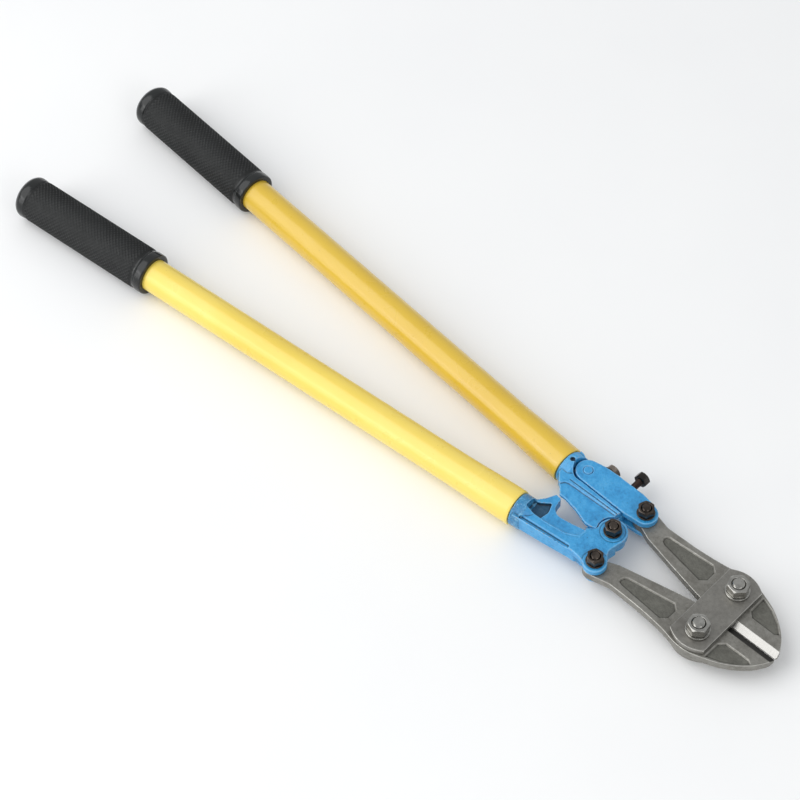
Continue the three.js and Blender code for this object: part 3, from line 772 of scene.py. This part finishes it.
def build_grip(side_name, side, knurled_vinyl, smooth_vinyl):
    """A moulded sleeve with a ring at its mouth, a knurled length and a domed end."""
    bore = TUBE_RADIUS + 0.3 * MM
    end = GRIP_START + GRIP_LENGTH
    cap = TUBE_LENGTH + 4 * MM
    front = rounded([
        (bore, GRIP_START), (14.9 * MM, GRIP_START), (15.1 * MM, GRIP_START + 2.6 * MM),
        (15.1 * MM, GRIP_START + 5.6 * MM), (KNURL_BASE, GRIP_START + 6.9 * MM),
        (KNURL_BASE, GRIP_START + 8 * MM),
    ], 1.0 * MM, closed=False)
    back = rounded([
        (KNURL_BASE, end - 9.4 * MM), (14.75 * MM, end - 8.9 * MM), (GRIP_END_RADIUS, end - 6.4 * MM),
        (GRIP_END_RADIUS, end - 3.6 * MM), (12.9 * MM, end - 0.4 * MM), (0, end),
    ], 2.2 * MM, closed=False)
    columns = 2 * KNURLS_ROUND
    start, stop = GRIP_START + 8.3 * MM, end - 9.7 * MM
    rows = round((stop - start) / (TAU * KNURL_BASE / columns))
    knurl = [(KNURL_BASE, start + (stop - start) * row / rows) for row in range(rows + 1)]
    first = len(front)
    final = first + rows

    def peaks(ring, angle, radius, height):
        column = round(angle / TAU * columns)
        is_peak = first < ring < final and (ring + column) % 2 == 0
        return (radius + KNURL_HEIGHT, height) if is_peak else (radius, height)

    mesh = lathe_mesh(f"{side_name}_grip", front + knurl + back + [(0, cap), (bore, cap)], columns,
                      on_handle(side) @ ALONG_Y, peaks, range(first, final + 1))
    mark_curvature(mesh, KNURL_CURVE)
    smooth_shaded(mesh, 60)
    into_handle = on_handle(side).inverted()
    for face in mesh.polygons:
        along = (into_handle @ face.center).y
        face.material_index = 0 if start < along < stop else 1
    new_piece(f"moulded_{side_name}_grip", mesh, [knurled_vinyl, smooth_vinyl], f"{side_name}_handle",
              "black_grip", f"{side_name}_grip")


def build_handles():
    knurled_vinyl = moulded_grip("knurled_vinyl", gloss=False)
    smooth_vinyl = moulded_grip("smooth_vinyl", gloss=True)
    for side_name, side in (("lower", -1), ("upper", 1)):
        build_tube(side_name, side, tube_enamel(f"{side_name}_tube_enamel", YELLOW[side_name]))
        build_grip(side_name, side, knurled_vinyl, smooth_vinyl)


# ---- Fasteners ----
HEX_STEPS = 72
WASHER_STEPS = 64
CHAMFER_SLOPE = math.tan(math.radians(30))
# Where a hexagon's chamfer starts, and how far its blunted corners reach, as shares of its flats.
CHAMFER_INNER = 0.475
CORNER_REACH = 0.571


class Rows:
    """Rings of a turned fastener: round, hexagonal with a chamfer, or threaded."""

    def __init__(self, flats, pitch):
        self.flats = flats
        self.pitch = pitch
        self.kinds = []
        self.profile = []

    def add(self, kind, radius, height):
        self.kinds.append(kind)
        self.profile.append((radius, height))

    def round(self, *points):
        for radius, height in points:
            self.add("round", radius, height)

    def hexagon(self, low, high, high_chamfer=True):
        """The six flats, and where they meet the chamfers."""
        inner = self.flats * CHAMFER_INNER
        self.add("round", inner, low)
        self.add("hex up", inner, low)
        self.add("hex down" if high_chamfer else "hex", inner, high)
        if high_chamfer:
            self.add("round", inner, high)

    def thread(self, radius, low, high):
        """Rings close enough together to carry a helical ridge."""
        count = max(int((high - low) / self.pitch * 6), 2)
        for k in range(count + 1):
            self.add("thread", radius, low + (high - low) * k / count)

    def warp(self, ring, angle, radius, height):
        kind = self.kinds[ring]
        if kind.startswith("hex"):
            turn = (angle % (TAU / 6)) - TAU / 12
            flat = min(self.flats / 2 / math.cos(turn), self.flats * CORNER_REACH)
            drop = (flat - radius) * CHAMFER_SLOPE
            rise = {"hex": 0, "hex up": drop, "hex down": -drop}[kind]
            return flat, height + rise
        if kind == "thread":
            phase = (height / self.pitch - angle / TAU) % 1
            return radius - self.pitch * 0.5 * abs(2 * phase - 1), height
        return radius, height

    def mesh(self, name, place):
        mesh = lathe_mesh(name, self.profile, HEX_STEPS, place, self.warp)
        smooth_shaded(mesh, 28)
        return mesh


SIZES = {
    "M8": dict(shank=3.9 * MM, flats=13 * MM, pitch=1.25 * MM),
    "M6": dict(shank=2.9 * MM, flats=10 * MM, pitch=1.0 * MM),
}


FLANGE_RADIUS = 8.4 * MM
BUTTON_RADIUS = 4.9 * MM
BUTTON_HEIGHT = 2.4 * MM
BUTTON_ANGLES = (0.2, 0.5, 0.8, 1.1, 1.35)


def bolt_piece(name, size, body, slot, material, flanged):
    """A bolt with its head under the tool and a threaded, domed end above the nut."""
    low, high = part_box(f"{name}_bolt")
    nut_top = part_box(f"{name}_nut")[1][2]
    place = Matrix.Translation((middle(f"{name}_bolt").x, middle(f"{name}_bolt").y, 0))
    shank, flats = size["shank"], size["flats"]
    rows = Rows(flats, size["pitch"])
    if flanged:
        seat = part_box("bottom_strap")[0][2] - 0.3 * MM
        rows.round((0, low[2]))
        rows.hexagon(low[2], seat - 1.9 * MM, high_chamfer=False)
        rim = FLANGE_RADIUS - 0.2 * MM
        rows.round((rim, seat - 1.2 * MM), (FLANGE_RADIUS, seat - 0.9 * MM),
                   (FLANGE_RADIUS, seat - 0.1 * MM), (rim, seat))
    else:
        seat = low[2] + BUTTON_HEIGHT
        dome = [(BUTTON_RADIUS * math.sin(t), seat - BUTTON_HEIGHT * math.cos(t)) for t in BUTTON_ANGLES]
        rows.round((0, low[2]), *dome, (BUTTON_RADIUS, seat - 0.1 * MM),
                   (BUTTON_RADIUS - 0.1 * MM, seat))
    rows.round((shank, seat), (shank, nut_top - 1.5 * size["pitch"]))
    rows.thread(shank, nut_top - 1.3 * size["pitch"], high[2] - 0.75 * MM)
    tip = high[2] - 0.05 * MM
    rows.round((shank - 0.25 * MM, tip - 0.45 * MM), (shank - 0.5 * MM, tip - 0.12 * MM),
               (shank - 0.9 * MM, tip - 0.02 * MM), (shank * 0.4, tip), (0, tip - 0.05 * MM))
    mesh = rows.mesh(f"{name}_bolt", place)
    new_piece(f"threaded_{name}_bolt", mesh, [material], body, slot, f"{name}_bolt")


def nut_piece(name, size, body, slot, material, turn):
    low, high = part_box(f"{name}_nut")
    centre = middle(f"{name}_nut")
    place = Matrix.Translation((centre.x, centre.y, 0)) @ Matrix.Rotation(turn, 4, "Z")
    hole = size["shank"] + 0.12 * MM
    rows = Rows(size["flats"], size["pitch"])
    rows.round((hole + 0.5 * MM, low[2]))
    rows.hexagon(low[2], high[2])
    rows.round((hole + 0.75 * MM, high[2]), (hole + 0.6 * MM, high[2] - 0.08 * MM),
               (hole, high[2] - 0.7 * MM), (hole, low[2] + 0.5 * MM))
    mesh = rows.mesh(f"{name}_nut", place)
    new_piece(f"chamfered_{name}_nut", mesh, [material], body, slot, f"{name}_nut")


def washer_piece(name, size, body, slot, material):
    low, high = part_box(f"{name}_washer")
    centre = middle(f"{name}_washer")
    outer = (high[0] - low[0]) / 2
    inner = size["shank"] + 0.2 * MM
    profile = rounded([(inner, low[2]), (outer, low[2]), (outer, high[2]), (inner, high[2])], 0.35 * MM)
    place = Matrix.Translation((centre.x, centre.y, 0))
    mesh = lathe_mesh(f"{name}_washer", profile, WASHER_STEPS, place)
    smooth_shaded(mesh, 40)
    new_piece(f"rolled_{name}_washer", mesh, [material], body, slot, f"{name}_washer")


def cross_screw_piece(name, node, body, flats, shank, head_height, materials):
    """A hexagon-headed screw along +Y, threaded up to its head. The thread takes the second material."""
    low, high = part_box(node)
    centre = middle(node)
    place = Matrix.Translation((centre.x, 0, MID_Z)) @ ALONG_Y
    rows = Rows(flats, 0.8 * MM)
    head = high[1] - head_height
    rows.round((0, low[1]), (shank * 0.6, low[1]), (shank * 0.8, low[1] + 0.4 * MM))
    rows.thread(shank, low[1] + 0.6 * MM, head - 0.3 * MM)
    rows.round((shank * 0.95, head))
    rows.hexagon(head, high[1])
    rows.round((flats * 0.40, high[1]), (flats * 0.38, high[1] - 0.15 * MM), (0, high[1] - 0.15 * MM))
    mesh = rows.mesh(name, place)
    for face in mesh.polygons:
        face.material_index = 1 if face.center.y < head else 0
    new_piece(name, mesh, materials, body, "black_oxide", node)


def build_fasteners():
    plain = steel("oiled_plain_steel", (0.25, 0.244, 0.226), (0.47, 0.461, 0.432), (0.13, 0.27), 0.92)
    black = steel("black_oxide_steel", (0.034, 0.029, 0.025), (0.125, 0.102, 0.086), (0.10, 0.22), 0.92)
    dulled = steel("dulled_steel", (0.15, 0.125, 0.105), (0.30, 0.255, 0.22), (0.26, 0.42), 0.8)
    blued = steel("blued_steel", (0.016, 0.030, 0.050), (0.040, 0.075, 0.12), (0.25, 0.40), 0.6)
    sooty = steel("oiled_black_steel", (0.020, 0.018, 0.016), (0.060, 0.052, 0.047), (0.20, 0.36), 0.75)
    rusty = steel("browned_steel", (0.034, 0.020, 0.015), (0.085, 0.044, 0.030), (0.36, 0.56), 0.6)
    for name, turn in (("lower_jaw", 39), ("upper_jaw", 47)):
        bolt_piece(name, SIZES["M8"], "straps", "plain_steel", plain, flanged=True)
        nut_piece(name, SIZES["M8"], "straps", "plain_steel", plain, math.radians(turn))
        washer_piece(name, SIZES["M8"], "straps", "plain_steel", plain)
    for name, body, turn in (("lower_tail", "lower_handle", 5), ("centre", "lower_handle", 20),
                             ("upper_tail", "link", 12)):
        bolt_piece(name, SIZES["M6"], body, "black_oxide", black, flanged=False)
        nut_piece(name, SIZES["M6"], body, "black_oxide", black, math.radians(turn))
        washer_piece(name, SIZES["M6"], body, "black_oxide", black)
    cross_screw_piece("threaded_adjusting_screw", "adjusting_screw", "adjuster",
                      8.5 * MM, 2.4 * MM, 5 * MM, [sooty, rusty])
    cross_screw_piece("threaded_lock_bolt", "lock_bolt", "upper_handle",
                      9 * MM, 1.9 * MM, 4.6 * MM, [dulled, rusty])
    build_lock_washer(black)
    build_set_pin(blued)


def build_lock_washer(material):
    low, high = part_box("lock_washer")
    inner, outer = 2.1 * MM, (high[0] - low[0]) / 2
    profile = rounded([(inner, low[1]), (outer, low[1]), (outer, high[1]), (inner, high[1])], 0.3 * MM)
    place = Matrix.Translation((middle("lock_washer").x, 0, MID_Z)) @ ALONG_Y
    mesh = lathe_mesh("lock_washer", profile, WASHER_STEPS, place)
    smooth_shaded(mesh, 40)
    new_piece("rolled_lock_washer", mesh, [material], "upper_handle", "black_oxide", "lock_washer")


def build_set_pin(material):
    """A short grub screw with a socket, sunk in the collar."""
    low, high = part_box("upper_set_pin")
    centre = middle("upper_set_pin")
    outer = (high[0] - low[0]) / 2
    socket, floor = outer * 0.5, high[2] - 1.3 * MM
    profile = rounded([
        (0, low[2]), (outer, low[2]), (outer, high[2]), (outer * 0.55, high[2]),
        (socket, floor + 0.1 * MM), (0, floor),
    ], 0.25 * MM)
    mesh = lathe_mesh("set_pin", profile, 36, Matrix.Translation((centre.x, centre.y, 0)))
    smooth_shaded(mesh, 40)
    new_piece("socketed_set_pin", mesh, [material], "upper_handle", "plain_steel", "upper_set_pin")


# ---- The scene ----
add_camera()
add_light()
add_floor()
build_levers()
build_jaws()
build_handles()
build_fasteners()
